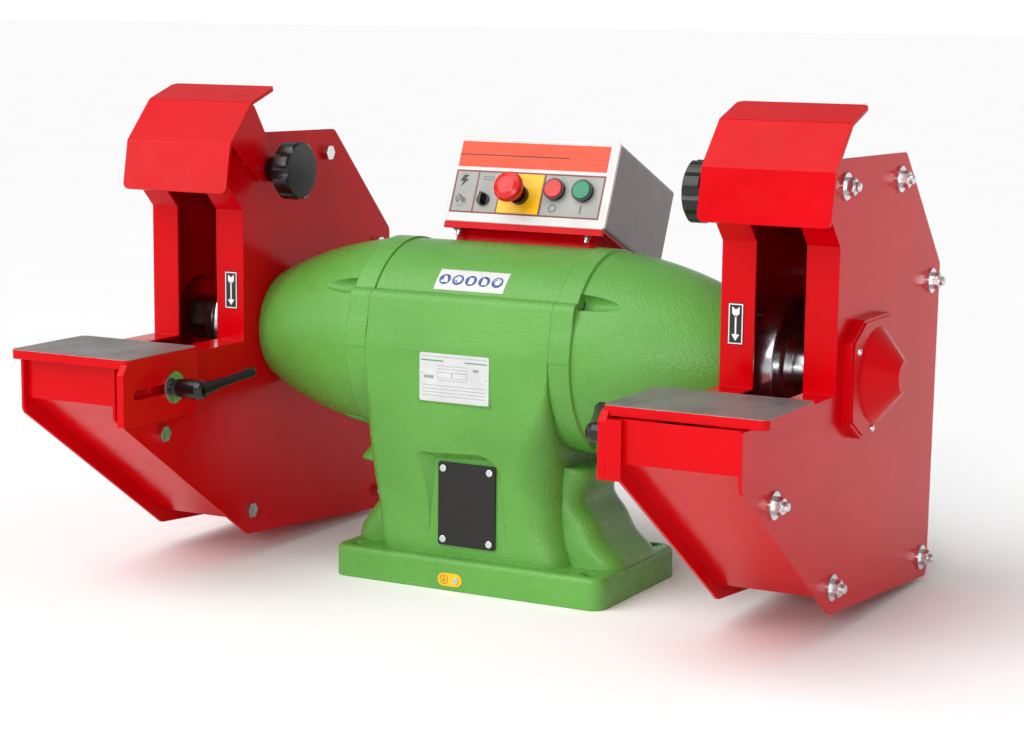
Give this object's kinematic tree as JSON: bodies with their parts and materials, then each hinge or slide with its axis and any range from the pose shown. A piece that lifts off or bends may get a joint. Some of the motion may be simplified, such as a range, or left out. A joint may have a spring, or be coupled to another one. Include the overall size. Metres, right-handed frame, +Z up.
{
  "type": "bench grinder",
  "caption": "Double-ended bench grinder with a tapered cast motor, sheet-steel wheel guards, adjustable visors, sliding work rests and a tilted control box.",
  "frame": {"origin": "centre of the four base bolt holes, on the underside of the cast base", "axes": "+Z up; +X along the spindle to the right as seen from the operator; +Y away from the operator, towards the back"},
  "size_m": [1.096, 0.6879, 0.647],
  "materials": {
    "green_enamel": "orange-peel structured enamel, semi-gloss",
    "red_enamel": "gloss enamel on sheet steel",
    "rest_red_enamel": "gloss enamel, table face ground bare",
    "turned_steel": "lathe-turned, bright rim",
    "plain_steel": "oiled steel",
    "machined_steel": "ground",
    "varnished_copper": "varnished",
    "black_plastic": "gloss",
    "black_sheet": "satin",
    "grey_enamel": "semi-gloss",
    "off_white_enamel": "semi-gloss",
    "light_label": "printed film",
    "aluminium_plate": "printed plate",
    "orange_label": "printed film",
    "red_label": "printed film",
    "black_label": "printed film",
    "yellow_label": "printed film",
    "red_plastic": "gloss",
    "green_plastic": "gloss",
    "clear_lens": "clear",
    "zinc_steel": "zinc plated"
  },
  "bodies": {
    "frame": {"arrow_plates": "black_label", "bearing_caps": "machined_steel", "bracket_screws": "zinc_steel", "button_bezels": "black_plastic", "cable_gland": "black_plastic", "control_box": "grey_enamel", "control_bracket": "red_enamel", "control_front": "off_white_enamel", "control_panel": "light_label", "data_plate": "aluminium_plate", "earth_plate": "yellow_label", "earth_screw": "zinc_steel", "estop_collar": "black_plastic", "estop_plate": "yellow_label", "guard_bolts": "zinc_steel", "guard_mount_screws": "zinc_steel", "guard_nuts": "zinc_steel", "guard_washers": "zinc_steel", "left_end_bell": "green_enamel", "left_guard_body": "red_enamel", "left_guard_cover": "red_enamel", "left_shaft_cover": "red_enamel", "motor_frame": "green_enamel", "panel_cell_lines": "red_label", "panel_stripe": "orange_label", "panel_symbols": "black_label", "rest_washers": "zinc_steel", "right_end_bell": "green_enamel", "right_guard_body": "red_enamel", "right_guard_cover": "red_enamel", "right_shaft_cover": "red_enamel", "safety_label": "light_label", "selector_base": "black_plastic", "shaft_cover_screws": "zinc_steel", "spindle_bearings": "machined_steel", "stator_core": "machined_steel", "stator_windings": "varnished_copper", "supply_lamp": "clear_lens", "tie_bolts": "zinc_steel", "window_cover": "black_sheet", "window_screws": "zinc_steel"},
    "rotor": {"spindle_shaft": "machined_steel", "rotor_core": "machined_steel", "left_inner_flange": "turned_steel", "left_outer_flange": "turned_steel", "spindle_nuts": "plain_steel", "right_inner_flange": "turned_steel", "right_outer_flange": "turned_steel"},
    "left_visor": {"left_visor": "red_enamel"},
    "right_visor": {"right_visor": "red_enamel"},
    "left_knob": {"left_visor_knob": "black_plastic"},
    "right_knob": {"right_visor_knob": "black_plastic"},
    "left_rest": {"left_work_rest": "rest_red_enamel"},
    "right_rest": {"right_work_rest": "rest_red_enamel"},
    "left_lever": {"left_clamp_lever": "black_plastic"},
    "right_lever": {"right_clamp_lever": "black_plastic"},
    "estop": {"estop_button": "red_plastic"},
    "start": {"start_button": "green_plastic"},
    "stop": {"stop_button": "red_plastic"},
    "selector": {"selector_knob": "black_plastic"}
  },
  "joints": [
    {"name": "rotor_spin", "type": "hinge", "parent": "frame", "child": "rotor", "pos_m": [0, 0, 0.316], "axis": [1, 0, 0], "continuous": true},
    {"name": "left_visor_tilt", "type": "hinge", "parent": "frame", "child": "left_visor", "pos_m": [-0.341, -0.057, 0.535], "axis": [1, 0, 0], "range_deg": [-35, 10]},
    {"name": "left_knob_turn", "type": "hinge", "parent": "frame", "child": "left_knob", "pos_m": [-0.3, -0.057, 0.535], "axis": [1, 0, 0], "range_deg": [-180, 180]},
    {"name": "left_rest_slide", "type": "slide", "parent": "frame", "child": "left_rest", "axis": [0, 1, 0], "range_m": [-0.03, 0.05]},
    {"name": "left_lever_turn", "type": "hinge", "parent": "frame", "child": "left_lever", "pos_m": [-0.3, -0.308, 0.271], "axis": [1, 0, 0], "range_deg": [-90, 90]},
    {"name": "right_visor_tilt", "type": "hinge", "parent": "frame", "child": "right_visor", "pos_m": [0.341, -0.057, 0.535], "axis": [1, 0, 0], "range_deg": [-35, 10]},
    {"name": "right_knob_turn", "type": "hinge", "parent": "frame", "child": "right_knob", "pos_m": [0.3, -0.057, 0.535], "axis": [1, 0, 0], "range_deg": [-180, 180]},
    {"name": "right_rest_slide", "type": "slide", "parent": "frame", "child": "right_rest", "axis": [0, 1, 0], "range_m": [-0.05, 0.025]},
    {"name": "right_lever_turn", "type": "hinge", "parent": "frame", "child": "right_lever", "pos_m": [0.3, -0.308, 0.271], "axis": [1, 0, 0], "range_deg": [-90, 90]},
    {"name": "estop_push", "type": "slide", "parent": "frame", "child": "estop", "axis": [0, 0.9178, -0.3971], "range_m": [0, 0.006], "stiffness_N_per_m": 600},
    {"name": "start_push", "type": "slide", "parent": "frame", "child": "start", "axis": [0, 0.9178, -0.3971], "range_m": [0, 0.0035], "stiffness_N_per_m": 300},
    {"name": "stop_push", "type": "slide", "parent": "frame", "child": "stop", "axis": [0, 0.9178, -0.3971], "range_m": [0, 0.0035], "stiffness_N_per_m": 300},
    {"name": "selector_turn", "type": "hinge", "parent": "frame", "child": "selector", "pos_m": [-0.058, 0.03096, 0.50256], "axis": [0, 0.9178, -0.3971], "range_deg": [-45, 45]}
  ]
}
